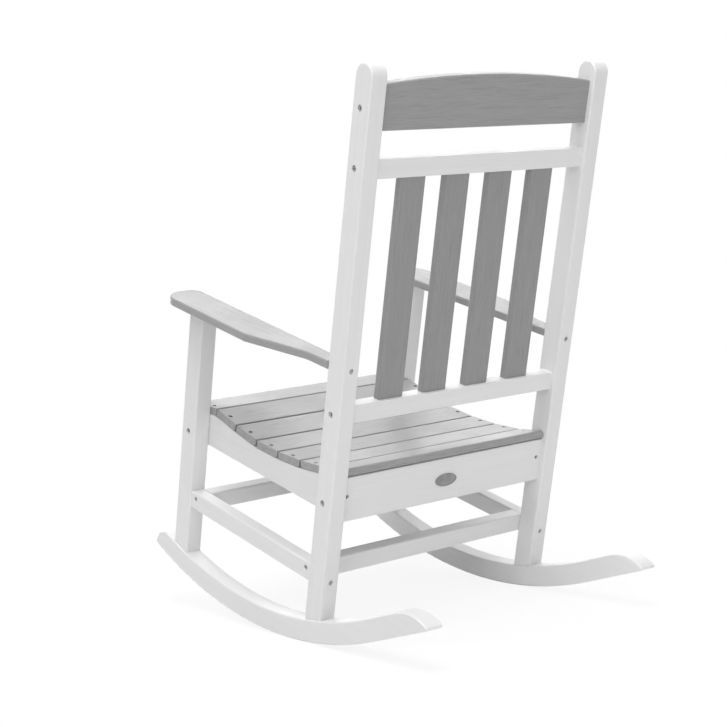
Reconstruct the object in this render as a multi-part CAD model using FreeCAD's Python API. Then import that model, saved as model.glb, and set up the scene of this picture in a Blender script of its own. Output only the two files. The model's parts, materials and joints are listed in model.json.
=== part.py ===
import FreeCAD, Part
import math
import os
from FreeCAD import Vector

# Porch rocking chair of solid plastic lumber: straight posts, upright back slats, a dished slat seat,
# flat arms and a pair of sawn rockers.  Boards meet in butt joints and are held by screws set in holes.
#
# The chair is laid out level, as it stands on the bench: X to the sitter's left, Y to the rear, Z up,
# y = 0 on the front faces of the rear posts, z = 0 at the lowest point of the rockers.  At the end it is
# rolled back on its rockers to the lean at which it balances, with the floor contact at the origin.
# Lengths are millimetres and angles are degrees.

# ---- frame -----------------------------------------------------------------------------------------
frame_width = 570.0             # over the outsides of the uprights
upright_thickness = 35.0        # across the chair
upright_depth = 44.5            # front to back
upright_clear = 391.5           # from the back of a front leg to the front of a rear post
arm_rest_height = 564.5         # top of the front legs, underside of the arms
heavy_round = 3.2               # rounding on the long edges of uprights and rockers
light_round = 3.0               # rounding on the long edges of thinner boards

# ---- rockers ---------------------------------------------------------------------------------------
rocker_radius = 865.0           # tread
rocker_low_point = -243.0       # y of the bottom of the arc
rocker_depth = 42.0             # tread to top edge
rocker_thickness = 38.0         # inner face flush with the uprights, so proud of them outside
rocker_nose_reach = 255.5       # tread in front of the low point
rocker_sweep_reach = 443.0      # tread behind the low point, where it runs on straight
rocker_tail_length = 155.0      # of that straight run, up to the tip
tail_bow = 93.0                 # radius by which the top edge bows down to the tip
nose_round = 30.0
tip_round = 3.8

# ---- stretchers and back rails ---------------------------------------------------------------------
bar_thickness = 28.5
bar_depth = 35.0
stretcher_bottom = 154.0
lower_rail_bottom = 467.0
rail_spacing = 442.0            # from the lower back rail up to the upper one

# ---- back ------------------------------------------------------------------------------------------
back_slat_count = 4
back_slat_width = 57.0
back_slat_thickness = 16.0
back_slat_pitch = 104.5
back_slat_housing = 10.0        # depth of the slat ends in the rails
crest_thickness = 22.0
hand_gap = 47.0                 # between the upper back rail and the crest board
crest_end_depth = 80.0
crest_rise = 15.0               # of the arched top edge, at the middle
post_rise = 35.0                # of the rear posts above the crest board's ends

# ---- seat ------------------------------------------------------------------------------------------
apron_thickness = 22.0
apron_drop = 81.8               # from the seat's front edge to the bottom of the aprons
apron_clearance = 1.5           # between the top of an apron and the slat over it
seat_rail_thickness = 22.0
seat_rail_drop = 76.8
seat_slat_width = 65.6
seat_slat_thickness = 15.0
seat_slat_gap = 3.4
seat_slat_top_round = 2.0
seat_slat_under_round = 6.0
seat_slat_end_round = 1.2
seat_slat_tilts = (4.4, -9.2, -6.5, 0.7, 5.1, 9.7, 15.6)    # front slat first, rising to the rear
seat_front_height = 357.8       # top of the seat at its front edge
seat_overhang = 4.5             # of the front slat in front of the legs
seat_end_clearance = 0.8        # between slat ends and the uprights
seat_outer_round = 7.0          # front edge of the front slat, back edge of the rear slat

# ---- arms ------------------------------------------------------------------------------------------
arm_thickness = 15.5
arm_length = 477.5
arm_inner_front = 244.0         # x of the straight inner edge at its front end
arm_inner_rear = 252.0          # and at the rear post
arm_outer_front = 327.5         # x of the outer edge at the nose
arm_outer_widest = 332.5        # where the taper starts
arm_taper_start = 190.0         # distance from the rear posts
arm_heel_width = 288.5          # x of the outer edge at the post
arm_heel_length = 57.0          # distance from the rear posts where the taper ends
arm_nose_round = 48.0
arm_inner_round = 20.0
arm_heel_round = 60.0
arm_edge_round = 3.0

# ---- oval plate on the rear apron ------------------------------------------------------------------
plate_length = 52.0
plate_height = 25.0
plate_thickness = 1.6
plate_rim_width = 2.0
plate_rim_rise = 0.6
plate_rise = 43.0               # its middle above the bottom of the apron
plate_pin_diameter = 1.8
plate_pin_length = 7.0
plate_pin_spacing = 30.0

# ---- fasteners -------------------------------------------------------------------------------------
post_screw_head = 11.4          # washer heads through the sides of posts and legs
frame_screw_head = 8.8          # stretchers, arms and rockers
seat_screw_head = 7.2           # slats and seat rails
screw_head_height = 2.2
screw_shank = 4.8
screw_point = 5.0              # length of the tapered end
screw_tip = 1.0                # its diameter at the very end
screw_sink = 2.4                # head below the face of the board
head_clearance = 1.0            # counterbore over head, on the diameter
drill_approach = 26.0          # the counterbore is cut from this far outside the screw's mouth
driver_socket = 3.4             # square drive
driver_socket_depth = 1.6
frame_screw_length = 75.0
long_screw_length = 100.0
foot_screw_length = 88.0
foot_screw_sink = 15.0          # up inside the tread
foot_screw_spacing = 22.0
slat_screw_length = 38.0
rail_screw_length = 55.0
post_screw_setback = 20.0      # from the front faces of the rear posts
crest_screw_rise = 38.0         # above the bottom of the crest board
rear_apron_screw_rise = 40.0    # above the bottom of the aprons
front_apron_screw_rise = 33.0
rear_rail_screw_rise = 45.0     # above the bottom of the seat rails
front_rail_screw_rise = 11.0
stretcher_screw_offset = 5.0    # crossing screws pass above and below the stretcher's middle
end_slat_screw_shift = 12.0     # on the two outer slats, towards the middle of the seat
stud_diameter = 8.0
stud_in_leg = 50.0
stud_cover = 5.0                # plastic left between the stud and the top of the arm
arm_screw_rise = 6.0            # above the underside of the arm
steel_to_board_density = 8.2    # stainless steel against plastic lumber
tolerance = 1e-4                # within which two places count as one

# ---- places that several boards share --------------------------------------------------------------
outer_face = frame_width / 2
inner_face = outer_face - upright_thickness
upright_middle = (outer_face + inner_face) / 2
post_middle = upright_depth / 2
leg_back = -upright_clear
leg_front = leg_back - upright_depth
leg_middle = (leg_back + leg_front) / 2
stretcher_top = stretcher_bottom + bar_depth
stretcher_middle = (stretcher_bottom + stretcher_top) / 2
side_stretcher_inner = upright_middle - bar_thickness / 2
side_stretcher_outer = upright_middle + bar_thickness / 2
rail_middle = inner_face - seat_rail_thickness / 2
upper_rail_bottom = lower_rail_bottom + rail_spacing
crest_bottom = upper_rail_bottom + bar_depth + hand_gap
post_height = crest_bottom + crest_end_depth + post_rise
apron_bottom = seat_front_height - apron_drop
seat_rail_bottom = seat_front_height - seat_rail_drop
plate_centre_height = apron_bottom + plate_rise
rocker_top_radius = rocker_radius - rocker_depth
arc_centre = Vector(0, rocker_low_point, rocker_radius)
ACROSS = Vector(1, 0, 0)
REARWARD = Vector(0, 1, 0)
UP = Vector(0, 0, 1)
SIDES = (("left", 1), ("right", -1))

boards = {}
fasteners = {}


# ---- helpers ---------------------------------------------------------------------------------------
def block(x_range, y_range, z_range):
    """Rectangular board between two corners."""
    low = Vector(x_range[0], y_range[0], z_range[0])
    return Part.makeBox(x_range[1] - x_range[0], y_range[1] - y_range[0], z_range[1] - z_range[0], low)


def centred(middle, size):
    """Range of the given size about a middle."""
    return (middle - size / 2, middle + size / 2)


def edges_along(board, direction):
    """Straight edges of a board that run along a direction."""
    found = []
    for edge in board.Edges:
        if not isinstance(edge.Curve, Part.Line):
            continue
        if edge.tangentAt(edge.FirstParameter).cross(direction).Length < tolerance:
            found.append(edge)
    return found


def edges_on_face(board, axis, place):
    """Edges that lie in the plane at a place along an axis."""
    found = []
    for edge in board.Edges:
        points = [vertex.Point for vertex in edge.Vertexes] + [edge.CenterOfMass]
        if all(abs(point.dot(axis) - place) < tolerance for point in points):
            found.append(edge)
    return found


def edges_level_with(edges, point, axis):
    """The edges whose middles are level with a point along an axis."""
    return [edge for edge in edges if abs((edge.CenterOfMass - point).dot(axis)) < tolerance]


def without(edges, board, direction):
    """The edges that are not among the board's straight edges along a direction."""
    dropped = [edge.hashCode() for edge in edges_along(board, direction)]
    return [edge for edge in edges if edge.hashCode() not in dropped]


def prism(points, direction):
    """Board from a closed outline of corners, extruded."""
    return Part.Face(Part.makePolygon(points + points[:1])).extrude(direction)


def rounded_outline(corners):
    """Closed face from (corner, radius) pairs, each corner rounded by a tangent arc."""
    spans = []
    for i, (corner, radius) in enumerate(corners):
        if radius == 0:
            spans.append((corner, None, corner))
            continue
        back = (corners[i - 1][0] - corner).normalize()
        onward = (corners[(i + 1) % len(corners)][0] - corner).normalize()
        half_angle = back.getAngle(onward) / 2
        reach = radius / math.tan(half_angle)
        bisector = (back + onward).normalize()
        crown = corner + bisector * (radius / math.sin(half_angle) - radius)
        spans.append((corner + back * reach, crown, corner + onward * reach))
    edges = []
    for i, (enter, crown, leave) in enumerate(spans):
        if crown is not None:
            edges.append(Part.Arc(enter, crown, leave).toShape())
        edges.append(Part.LineSegment(leave, spans[(i + 1) % len(spans)][0]).toShape())
    return Part.Face(Part.Wire(edges))


def mirrored(board):
    """The board of the other side of the chair."""
    return board.mirror(Vector(0, 0, 0), ACROSS)


def add_pair(name, left_board):
    """A board and its mirror image, as the left and right nodes."""
    boards[name + "_left"] = left_board
    boards[name + "_right"] = mirrored(left_board)


def screw_stem(head_top, inward, length):
    """Shank and point of a screw, below its head."""
    start = head_top + inward * screw_head_height
    end = head_top + inward * (length - screw_point)
    shank = Part.makeCylinder(screw_shank / 2, length - screw_head_height - screw_point, start, inward)
    return [shank, Part.makeCone(screw_shank / 2, screw_tip / 2, screw_point, end, inward)]


def screw(head_top, inward, length, head_size):
    """Cylinder-head screw with a square drive, its head's top at a point."""
    head = Part.makeCylinder(head_size / 2, screw_head_height, head_top, inward)
    socket = Part.makeBox(driver_socket, driver_socket, driver_socket_depth)
    socket.translate(Vector(-driver_socket / 2, -driver_socket / 2, 0))
    socket.Placement = FreeCAD.Placement(head_top, FreeCAD.Rotation(UP, inward)).multiply(socket.Placement)
    return head.fuse(screw_stem(head_top, inward, length)).removeSplitter().cut(socket)


def screw_hole(head_top, inward, length, head_size, sink):
    """What the drill takes away for a screw: the counterbore, the shank and the point."""
    mouth = sink + drill_approach
    radius = (head_size + head_clearance) / 2
    bore = Part.makeCylinder(radius, screw_head_height + mouth, head_top - inward * mouth, inward)
    return bore.fuse(screw_stem(head_top, inward, length))


def drive(group, surface_point, inward, length, names, head_size=frame_screw_head, sink=screw_sink):
    """Sets a screw in a face and drills the boards that it passes through."""
    head_top = surface_point + inward * sink
    fasteners.setdefault(group, []).append(screw(head_top, inward, length, head_size))
    hole = screw_hole(head_top, inward, length, head_size, sink)
    for name in names:
        boards[name] = boards[name].cut(hole)


def pin(group, start, direction, diameter, length, names):
    """Sets a plain pin or stud and drills the boards that it passes through."""
    body = Part.makeCylinder(diameter / 2, length, start, direction)
    fasteners.setdefault(group, []).append(body)
    for name in names:
        boards[name] = boards[name].cut(body)


# ---- rockers ---------------------------------------------------------------------------------------
def on_arc(radius, angle):
    """Point on an arc about the rocker's centre, at the uprights' inner face; angle from straight down."""
    y = arc_centre.y + radius * math.sin(angle)
    z = arc_centre.z - radius * math.cos(angle)
    return Vector(inner_face, y, z)


def tread_height(y):
    """Height of the tread's arc at a place along the chair."""
    return arc_centre.z - math.sqrt(rocker_radius ** 2 - (y - arc_centre.y) ** 2)


def make_rocker():
    """Sawn rocker: an arc that runs on straight, its top edge bowed down to the tip of the tail."""
    nose = -math.asin(rocker_nose_reach / rocker_radius)
    tail = math.asin(rocker_sweep_reach / rocker_radius)
    along_tail = Vector(0, math.cos(tail), math.sin(tail))
    square_up = Vector(0, -math.sin(tail), math.cos(tail))
    tread_end = on_arc(rocker_radius, tail)
    top_end = on_arc(rocker_top_radius, tail)
    tip = tread_end + along_tail * rocker_tail_length
    bow_reach = math.sqrt(rocker_depth * (2 * tail_bow - rocker_depth))
    bow_start = tip - along_tail * bow_reach + square_up * rocker_depth
    bow_centre = bow_start - square_up * tail_bow
    bow_middle = bow_centre + ((bow_start + tip) / 2 - bow_centre).normalize() * tail_bow
    nose_bottom = on_arc(rocker_radius, nose)
    nose_top = on_arc(rocker_top_radius, nose)
    outline = Part.Wire([
        Part.Arc(nose_bottom, on_arc(rocker_radius, 0), tread_end).toShape(),
        Part.LineSegment(tread_end, tip).toShape(),
        Part.Arc(tip, bow_middle, bow_start).toShape(),
        Part.LineSegment(bow_start, top_end).toShape(),
        Part.Arc(top_end, on_arc(rocker_top_radius, 0), nose_top).toShape(),
        Part.LineSegment(nose_top, nose_bottom).toShape(),
    ])
    board = Part.Face(outline).extrude(ACROSS * rocker_thickness)
    for corner, radius in ((tip, tip_round), (nose_top, nose_round)):
        corner_edges = [edge for edge in edges_along(board, ACROSS)
                        if (edge.CenterOfMass - corner).cross(ACROSS).Length < tolerance]
        board = board.makeFillet(radius, corner_edges)
    sides = edges_on_face(board, ACROSS, inner_face)
    sides += edges_on_face(board, ACROSS, inner_face + rocker_thickness)
    return board.makeFillet(heavy_round, sides)


# ---- uprights --------------------------------------------------------------------------------------
def scribed_to_rocker(board):
    """An upright with its foot cut to the rocker's top edge."""
    start = Vector(0, arc_centre.y, arc_centre.z)
    inside = Part.makeCylinder(rocker_top_radius, frame_width, start, ACROSS)
    return board.common(inside)


def make_rear_post():
    """Rear post with a fully rounded top."""
    spring = post_height - upright_depth / 2
    front_foot = Vector(inner_face, 0, 0)
    rear_foot = Vector(inner_face, upright_depth, 0)
    rear_spring = Vector(inner_face, upright_depth, spring)
    front_spring = Vector(inner_face, 0, spring)
    outline = Part.Wire([
        Part.LineSegment(front_foot, rear_foot).toShape(),
        Part.LineSegment(rear_foot, rear_spring).toShape(),
        Part.Arc(rear_spring, Vector(inner_face, post_middle, post_height), front_spring).toShape(),
        Part.LineSegment(front_spring, front_foot).toShape(),
    ])
    board = Part.Face(outline).extrude(ACROSS * upright_thickness)
    sides = edges_on_face(board, ACROSS, inner_face) + edges_on_face(board, ACROSS, outer_face)
    board = board.makeFillet(heavy_round, without(sides, board, REARWARD))
    return scribed_to_rocker(board)


def make_front_leg():
    """Front leg with a flat top that carries the arm."""
    board = block((inner_face, outer_face), (leg_front, leg_back), (0, arm_rest_height))
    board = board.makeFillet(heavy_round, edges_along(board, UP))
    return scribed_to_rocker(board)


# ---- bars ------------------------------------------------------------------------------------------
def make_back_rail(bottom):
    """Cross rail of the back, between the posts."""
    board = block((-inner_face, inner_face), centred(post_middle, bar_thickness),
                  (bottom, bottom + bar_depth))
    return board.makeFillet(light_round, edges_along(board, ACROSS))


def make_side_stretcher():
    """Stretcher from the front leg to the rear post."""
    board = block((side_stretcher_inner, side_stretcher_outer), (leg_back, 0),
                  (stretcher_bottom, stretcher_top))
    return board.makeFillet(light_round, edges_along(board, REARWARD))


def make_cross_stretcher(front):
    """Stretcher between the two side stretchers."""
    board = block((-side_stretcher_inner, side_stretcher_inner), (front, front + bar_thickness),
                  (stretcher_bottom, stretcher_top))
    return board.makeFillet(light_round, edges_along(board, ACROSS))


# ---- back ------------------------------------------------------------------------------------------
def make_crest():
    """Crest board with an arched top edge."""
    front = post_middle - crest_thickness / 2
    end_top = crest_bottom + crest_end_depth
    corners = [Vector(-inner_face, front, crest_bottom), Vector(inner_face, front, crest_bottom),
               Vector(inner_face, front, end_top), Vector(-inner_face, front, end_top)]
    outline = Part.Wire([
        Part.LineSegment(corners[0], corners[1]).toShape(),
        Part.LineSegment(corners[1], corners[2]).toShape(),
        Part.Arc(corners[2], Vector(0, front, end_top + crest_rise), corners[3]).toShape(),
        Part.LineSegment(corners[3], corners[0]).toShape(),
    ])
    board = Part.Face(outline).extrude(REARWARD * crest_thickness)
    faces = edges_on_face(board, REARWARD, front) + edges_on_face(board, REARWARD, front + crest_thickness)
    return board.makeFillet(light_round, without(faces, board, UP))


def make_back_slat(middle):
    """Upright slat, its ends let into both rails."""
    heights = (lower_rail_bottom + bar_depth - back_slat_housing, upper_rail_bottom + back_slat_housing)
    board = block(centred(middle, back_slat_width), centred(post_middle, back_slat_thickness), heights)
    return board.makeFillet(light_round, edges_along(board, UP))


# ---- seat ------------------------------------------------------------------------------------------
class SeatLine:
    """Straight course of one seat slat, seen from the side: its top line and its underside line."""

    def __init__(self, start, tilt):
        angle = math.radians(tilt)
        self.start = start
        self.along = Vector(0, math.cos(angle), math.sin(angle))
        self.normal = Vector(0, -math.sin(angle), math.cos(angle))
        self.end = start + self.along * (seat_slat_width + seat_slat_gap)

    def top(self, distance):
        """Point on the top face, at a distance along the course."""
        return self.start + self.along * distance

    def underside_height(self, y):
        """Height of the underside at a place along the chair."""
        foot = self.start - self.normal * seat_slat_thickness
        return foot.z + (y - foot.y) * self.along.z / self.along.y

    def underside_meeting(self, other):
        """Where this underside meets the next slat's."""
        own_slope = self.along.z / self.along.y
        other_slope = other.along.z / other.along.y
        y = (other.underside_height(0) - self.underside_height(0)) / (own_slope - other_slope)
        return (y, self.underside_height(y))


def lay_out_seat():
    """Courses of the slats, end to end from the front edge."""
    course_start = Vector(0, leg_front - seat_overhang - seat_slat_gap / 2, seat_front_height)
    courses = []
    for tilt in seat_slat_tilts:
        course = SeatLine(course_start, tilt)
        courses.append(course)
        course_start = course.end
    return courses


seat_courses = lay_out_seat()
rear_apron_front = post_middle - apron_thickness / 2
front_apron_front = leg_middle - apron_thickness / 2
front_apron_back = leg_middle + apron_thickness / 2


def make_seat_slat(course, position):
    """One seat slat; the outer two have a fuller round on the top of their free edge."""
    half_length = inner_face - seat_end_clearance
    near = course.top(seat_slat_gap / 2)
    far = course.top(seat_slat_gap / 2 + seat_slat_width)
    drop = course.normal * seat_slat_thickness
    board = prism([near, far, far - drop, near - drop], ACROSS * 2 * half_length)
    board.translate(ACROSS * -half_length)
    under_edges = edges_level_with(edges_along(board, ACROSS), near - drop, course.normal)
    board = board.makeFillet(seat_slat_under_round, under_edges)
    for corner, outer_position in ((near, 0), (far, len(seat_slat_tilts) - 1)):
        top_edges = edges_level_with(edges_along(board, ACROSS), corner, course.normal)
        radius = seat_outer_round if position == outer_position else seat_slat_top_round
        board = board.makeFillet(radius, edges_level_with(top_edges, corner, course.along))
    ends = edges_on_face(board, ACROSS, -half_length) + edges_on_face(board, ACROSS, half_length)
    return board.makeFillet(seat_slat_end_round, ends)


def make_seat_rail():
    """Side rail, its top edge stepped to the undersides of the slats."""
    heights = [(front_apron_back, seat_courses[0].underside_height(front_apron_back))]
    for course, following in zip(seat_courses, seat_courses[1:]):
        heights.append(course.underside_meeting(following))
    heights.append((rear_apron_front, seat_courses[-1].underside_height(rear_apron_front)))
    inner = inner_face - seat_rail_thickness
    points = [Vector(inner, front_apron_back, seat_rail_bottom)]
    points += [Vector(inner, y, z) for y, z in heights]
    points.append(Vector(inner, rear_apron_front, seat_rail_bottom))
    board = prism(points, ACROSS * seat_rail_thickness)
    bottom = edges_level_with(edges_along(board, REARWARD), points[0], UP)
    return board.makeFillet(light_round, bottom)


def make_apron(front, course):
    """Apron under the first or last slat, its top edge planed to the slope of the slat's underside."""
    back = front + apron_thickness
    points = [Vector(-inner_face, front, apron_bottom), Vector(-inner_face, back, apron_bottom),
              Vector(-inner_face, back, course.underside_height(back) - apron_clearance),
              Vector(-inner_face, front, course.underside_height(front) - apron_clearance)]
    board = prism(points, ACROSS * 2 * inner_face)
    return board.makeFillet(light_round, edges_along(board, ACROSS))


# ---- arms ------------------------------------------------------------------------------------------
def front_edges(rims, board):
    """The rim edges of the arm's nose, which run straight across the chair."""
    across = [edge.hashCode() for edge in edges_along(board, ACROSS)]
    return [e for e in rims if e.hashCode() in across and e.CenterOfMass.y < -arm_length / 2]


def make_arm():
    """Flat arm: straight inner edge, round nose, outer edge tapered in to the rear post."""
    z = arm_rest_height
    corners = [
        (Vector(arm_inner_rear, 0, z), 0),
        (Vector(arm_inner_front, -arm_length, z), arm_inner_round),
        (Vector(arm_outer_front, -arm_length, z), arm_nose_round),
        (Vector(arm_outer_widest, -arm_taper_start, z), 0),
        (Vector(arm_heel_width, -arm_heel_length, z), arm_heel_round),
        (Vector(arm_heel_width, 0, z), 0),
    ]
    board = rounded_outline(corners).extrude(UP * arm_thickness)
    rims = edges_on_face(board, UP, z) + edges_on_face(board, UP, z + arm_thickness)
    return board.makeFillet(arm_edge_round, without(rims, board, ACROSS) + front_edges(rims, board))


# ---- oval plate ------------------------------------------------------------------------------------
def ellipse_slab(length, height, start, thickness):
    """Upright elliptical disc on the back of the rear apron, starting at a place along Y."""
    centre = Vector(0, start, plate_centre_height)
    curve = Part.Ellipse(centre + ACROSS * (length / 2), centre + UP * (height / 2), centre)
    return Part.Face(Part.Wire(curve.toShape())).extrude(REARWARD * thickness)


def make_plate():
    """Blank oval plate with a raised rim."""
    back = rear_apron_front + apron_thickness
    inner_length = plate_length - 2 * plate_rim_width
    inner_height = plate_height - 2 * plate_rim_width
    whole = ellipse_slab(plate_length, plate_height, back, plate_thickness + plate_rim_rise)
    field = ellipse_slab(inner_length, inner_height, back + plate_thickness, plate_rim_rise)
    return whole.cut(field)


# ---- boards ----------------------------------------------------------------------------------------
def make_boards():
    """All boards, before drilling."""
    add_pair("rocker", make_rocker())
    add_pair("rear_post", make_rear_post())
    add_pair("front_leg", make_front_leg())
    add_pair("side_stretcher", make_side_stretcher())
    boards["rear_stretcher"] = make_cross_stretcher(-bar_thickness)
    boards["front_stretcher"] = make_cross_stretcher(leg_back)
    boards["lower_back_rail"] = make_back_rail(lower_rail_bottom)
    boards["upper_back_rail"] = make_back_rail(upper_rail_bottom)
    boards["crest_board"] = make_crest()
    for i in range(back_slat_count):
        slat = make_back_slat(back_slat_pitch * ((back_slat_count - 1) / 2 - i))
        boards["back_slat_%d" % (i + 1)] = slat
        for rail in ("lower_back_rail", "upper_back_rail"):
            boards[rail] = boards[rail].cut(slat)
    boards["front_apron"] = make_apron(front_apron_front, seat_courses[0])
    boards["rear_apron"] = make_apron(rear_apron_front, seat_courses[-1])
    add_pair("seat_rail", make_seat_rail())
    for i, course in enumerate(seat_courses):
        boards["seat_slat_%d" % (i + 1)] = make_seat_slat(course, i)
    add_pair("arm", make_arm())
    boards["oval_plate"] = make_plate()


# ---- fasteners -------------------------------------------------------------------------------------
def fasten_frame(side, sign):
    """Screws of one side's uprights, stretchers, aprons and rocker."""
    inward = ACROSS * -sign
    post = "rear_post_" + side
    leg = "front_leg_" + side
    stretcher = "side_stretcher_" + side
    rail = "seat_rail_" + side
    for board, height in (("crest_board", crest_bottom + crest_screw_rise),
                          ("upper_back_rail", upper_rail_bottom + bar_depth / 2),
                          ("lower_back_rail", lower_rail_bottom + bar_depth / 2),
                          ("rear_apron", apron_bottom + rear_apron_screw_rise)):
        place = Vector(sign * outer_face, post_screw_setback, height)
        drive("post_screws", place, inward, frame_screw_length, (post, board), post_screw_head)
    place = Vector(sign * outer_face, leg_middle, apron_bottom + front_apron_screw_rise)
    drive("leg_screws", place, inward, frame_screw_length, (leg, "front_apron"), post_screw_head)

    long_screw_height = stretcher_middle - stretcher_screw_offset
    cross_screw_height = stretcher_middle + stretcher_screw_offset
    place = Vector(sign * upright_middle, upright_depth, long_screw_height)
    drive("stretcher_end_screws", place, -REARWARD, long_screw_length, (post, stretcher))
    place = Vector(sign * upright_middle, leg_front, long_screw_height)
    drive("stretcher_end_screws", place, REARWARD, long_screw_length, (leg, stretcher))
    for board, y in (("rear_stretcher", -bar_thickness / 2),
                     ("front_stretcher", leg_back + bar_thickness / 2)):
        place = Vector(sign * side_stretcher_outer, y, cross_screw_height)
        drive("cross_stretcher_screws", place, inward, frame_screw_length, (stretcher, board))

    place = Vector(sign * upright_middle, upright_depth, arm_rest_height + arm_screw_rise)
    drive("arm_screws", place, -REARWARD, long_screw_length, (post, "arm_" + side))
    rail_screw_height = seat_rail_bottom + rear_rail_screw_rise
    place = Vector(sign * rail_middle, rear_apron_front + apron_thickness, rail_screw_height)
    drive("seat_rail_screws", place, -REARWARD, rail_screw_length, ("rear_apron", rail), seat_screw_head)
    rail_screw_height = seat_rail_bottom + front_rail_screw_rise
    place = Vector(sign * rail_middle, front_apron_front, rail_screw_height)
    drive("seat_rail_screws", place, REARWARD, rail_screw_length, ("front_apron", rail), seat_screw_head)

    for upright, middle in ((post, post_middle), (leg, leg_middle)):
        for y in centred(middle, foot_screw_spacing):
            place = Vector(sign * upright_middle, y, tread_height(y))
            drive("rocker_screws", place, UP, foot_screw_length, ("rocker_" + side, upright),
                  sink=foot_screw_sink)
    start = Vector(sign * upright_middle, leg_middle, arm_rest_height - stud_in_leg)
    stud_length = stud_in_leg + arm_thickness - stud_cover
    pin("arm_studs", start, UP, stud_diameter, stud_length, (leg, "arm_" + side))


def fasten_seat(side, sign):
    """Screws down through the slat ends into one side rail."""
    last = len(seat_courses) - 1
    for i, course in enumerate(seat_courses):
        shift = {0: end_slat_screw_shift, last: -end_slat_screw_shift}.get(i, 0)
        place = course.top((seat_slat_width + seat_slat_gap) / 2 + shift) + ACROSS * (sign * rail_middle)
        drive("seat_slat_screws", place, -course.normal, slat_screw_length,
              ("seat_slat_%d" % (i + 1), "seat_rail_" + side), seat_screw_head)


def fasten_plate():
    """Pins that hold the oval plate to the rear apron."""
    for x in centred(0, plate_pin_spacing):
        back = Vector(x, rear_apron_front + apron_thickness, plate_centre_height)
        pin("plate_pins", back, -REARWARD, plate_pin_diameter, plate_pin_length, ("rear_apron",))


# ---- rest ------------------------------------------------------------------------------------------
def balance_lean(bodies):
    """Lean at which the centre of mass hangs straight below the centre of the rocker arc."""
    mass = 0
    moment = Vector(0, 0, 0)
    for name, shape in bodies.items():
        density = steel_to_board_density if name in fasteners else 1
        for solid in shape.Solids:
            mass += density * solid.Volume
            moment += solid.CenterOfMass * (density * solid.Volume)
    centre = moment * (1 / mass)
    return math.degrees(math.atan2(centre.y - arc_centre.y, arc_centre.z - centre.z))


def roll_to_rest(shape, lean):
    """Rolls a shape back with the chair and puts the floor contact at the origin."""
    rolled = shape.copy()
    rolled.rotate(arc_centre, ACROSS, -lean)
    rolled.translate(-Vector(arc_centre.x, arc_centre.y, arc_centre.z - rocker_radius))
    return rolled


def main():
    """Builds, fastens, rolls to rest and writes every piece."""
    make_boards()
    for side, sign in SIDES:
        fasten_frame(side, sign)
        fasten_seat(side, sign)
    fasten_plate()
    bodies = dict(boards)
    for name, solids in fasteners.items():
        bodies[name] = Part.makeCompound(solids)
    lean = balance_lean(bodies)
    print("lean at rest: %.3f degrees" % lean)
    os.makedirs("parts", exist_ok=True)
    for name, shape in bodies.items():
        roll_to_rest(shape, lean).exportStep("parts/%s.step" % name)
        print("%-24s %2d solids  %10.0f mm3" % (name, len(shape.Solids), shape.Volume))


main()
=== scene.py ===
"""Looks of a porch rocking chair of solid plastic lumber.

Metres, in the row frame: +X to the sitter's left, +Y to the rear, +Z up, the floor at z = 0.
Sizes in the classes belong to the chair laid out level, as it stands on the bench, with y = 0 on the
front faces of the rear posts; a Stance rolls them back to the lean at which the chair rests.
"""

import json
import logging
import math
from dataclasses import dataclass, fields, replace
from enum import Enum
from typing import Sequence

import bpy
from mathutils import Matrix, Vector


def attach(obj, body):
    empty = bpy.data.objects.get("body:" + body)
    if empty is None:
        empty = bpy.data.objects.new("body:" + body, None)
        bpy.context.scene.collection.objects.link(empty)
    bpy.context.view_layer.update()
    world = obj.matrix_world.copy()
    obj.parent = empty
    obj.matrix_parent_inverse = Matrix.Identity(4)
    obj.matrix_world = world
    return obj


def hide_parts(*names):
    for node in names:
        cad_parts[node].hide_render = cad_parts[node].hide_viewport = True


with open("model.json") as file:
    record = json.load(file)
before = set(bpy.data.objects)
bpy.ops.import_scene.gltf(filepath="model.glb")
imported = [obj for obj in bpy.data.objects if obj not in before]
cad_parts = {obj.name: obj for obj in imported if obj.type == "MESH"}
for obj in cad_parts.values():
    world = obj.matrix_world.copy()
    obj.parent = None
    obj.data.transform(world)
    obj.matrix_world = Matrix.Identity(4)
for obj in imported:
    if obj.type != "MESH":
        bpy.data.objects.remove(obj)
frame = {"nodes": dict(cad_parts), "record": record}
LOG = logging.getLogger("rocking_chair")
Colour = tuple[float, float, float]
Triple = tuple[float, float, float]
Socket = bpy.types.NodeSocket
Sockets = bpy.types.bpy_prop_collection
Tree = bpy.types.NodeTree
ROOT = "root"
SHIFT = "board_shift"
INWARD = "inward"
SIDES = (("left", 1.0), ("right", -1.0))
WHOLE = (0.0, 1.0)
WHITE = (1.0, 1.0, 1.0, 1.0)
CREASE_DEGREES = 28.0
GRAIN_REACH = (0.9, 0.5, 0.5)
GRAIN_SEED = 7
SPIN_SEED = 11
SCATTER_STEPS = 97
SCATTER_STEP = 0.37
SCATTER = (1.0, 0.31, 0.17)
KINDS = {"Geometry": "Geometry", "Vector": "Vector", "Count": "Int", "Foot": "Vector", "Finish": "Material"}


class Slot(Enum):
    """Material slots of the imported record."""

    GREY = "grey_lumber"
    STEEL = "stainless_fasteners"


class Course(Enum):
    """Way a board's length runs on the level chair, as turns about Y and Z that lay it along X."""

    ACROSS = (0.0, 0.0)
    UPRIGHT = (90.0, 0.0)
    REARWARD = (0.0, -90.0)

    def along(self) -> Vector:
        """Direction of the board's length on the level chair."""
        about_y, about_z = map(math.radians, self.value)
        return Matrix.Rotation(-about_y, 3, "Y") @ Matrix.Rotation(-about_z, 3, "Z") @ Vector((1.0, 0.0, 0.0))


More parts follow.
